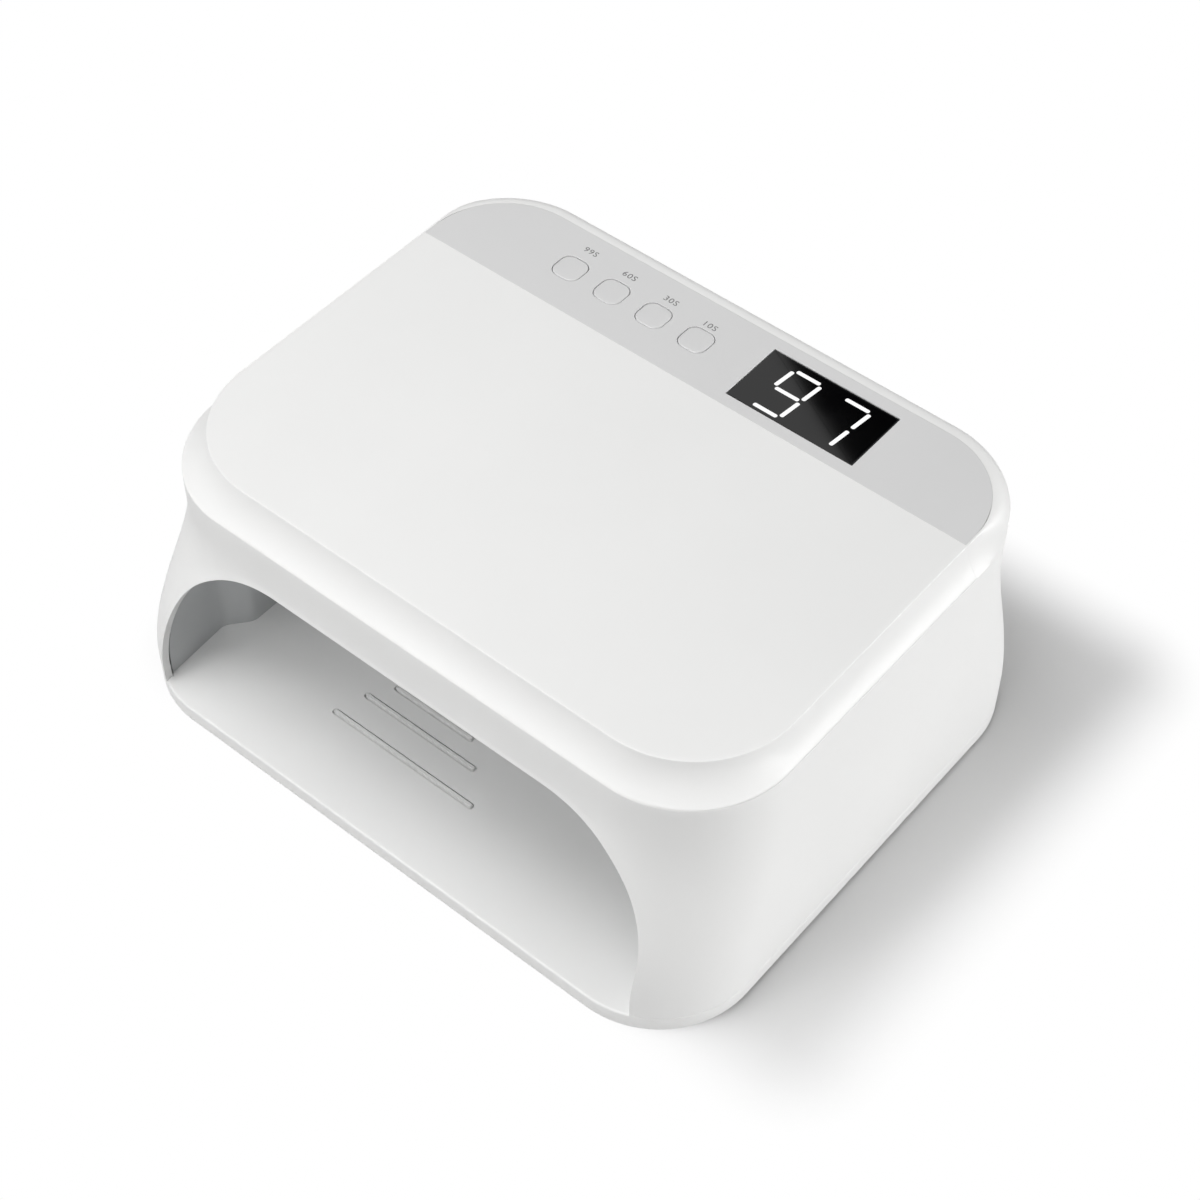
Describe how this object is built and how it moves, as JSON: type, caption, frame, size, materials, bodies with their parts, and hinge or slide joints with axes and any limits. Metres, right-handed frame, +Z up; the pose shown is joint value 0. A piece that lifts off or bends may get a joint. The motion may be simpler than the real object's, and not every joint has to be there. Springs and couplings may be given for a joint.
{
  "type": "nail lamp",
  "caption": "Nail curing lamp with a flared housing, an arched hand opening, a button and display strip on top, and a lift-off base plate.",
  "frame": {"origin": "middle of the footprint on the table", "axes": "+Z up, front with the hand opening faces -Y, +X to the user's right"},
  "size_m": [0.234, 0.191, 0.0986],
  "materials": {
    "white_shell": "satin",
    "grey_panel": "satin",
    "black_window": "gloss",
    "button_plastic": "satin",
    "liner_plastic": "semi-gloss",
    "base_plastic": "satin",
    "foot_rubber": "matte",
    "black_plastic": "matte",
    "board_green": "satin",
    "board_white": "satin",
    "lens_clear": "gloss",
    "steel": "satin"
  },
  "bodies": {
    "base": {"base_plate": "base_plastic", "base_feet": "foot_rubber", "strike_plates": "steel"},
    "lamp": {"housing": "white_shell", "top_cover": "white_shell", "control_panel": "grey_panel", "display_window": "black_window", "display_module": "black_plastic", "control_board": "board_green", "tact_switches": "black_plastic", "reflector_liner": "liner_plastic", "roof_led_board": "board_white", "side_led_boards": "board_white", "uv_leds": "lens_clear", "hand_sensor": "black_plastic", "power_inlet": "black_plastic", "housing_magnets": "steel", "liner_screws": "steel", "cover_screws": "steel", "board_screws": "steel"},
    "key_99s": {"button_99s": "button_plastic"},
    "key_60s": {"button_60s": "button_plastic"},
    "key_30s": {"button_30s": "button_plastic"},
    "key_10s": {"button_10s": "button_plastic"}
  },
  "joints": [
    {"name": "lamp_lift", "type": "slide", "parent": "base", "child": "lamp", "axis": [0, 0, 1], "range_m": [0, 0.08]},
    {"name": "press_99s", "type": "slide", "parent": "lamp", "child": "key_99s", "axis": [0, 0, -1], "range_m": [0, 0.0008], "stiffness_N_per_m": 800, "springref_m": -0.0004},
    {"name": "press_60s", "type": "slide", "parent": "lamp", "child": "key_60s", "axis": [0, 0, -1], "range_m": [0, 0.0008], "stiffness_N_per_m": 800, "springref_m": -0.0004},
    {"name": "press_30s", "type": "slide", "parent": "lamp", "child": "key_30s", "axis": [0, 0, -1], "range_m": [0, 0.0008], "stiffness_N_per_m": 800, "springref_m": -0.0004},
    {"name": "press_10s", "type": "slide", "parent": "lamp", "child": "key_10s", "axis": [0, 0, -1], "range_m": [0, 0.0008], "stiffness_N_per_m": 800, "springref_m": -0.0004}
  ]
}
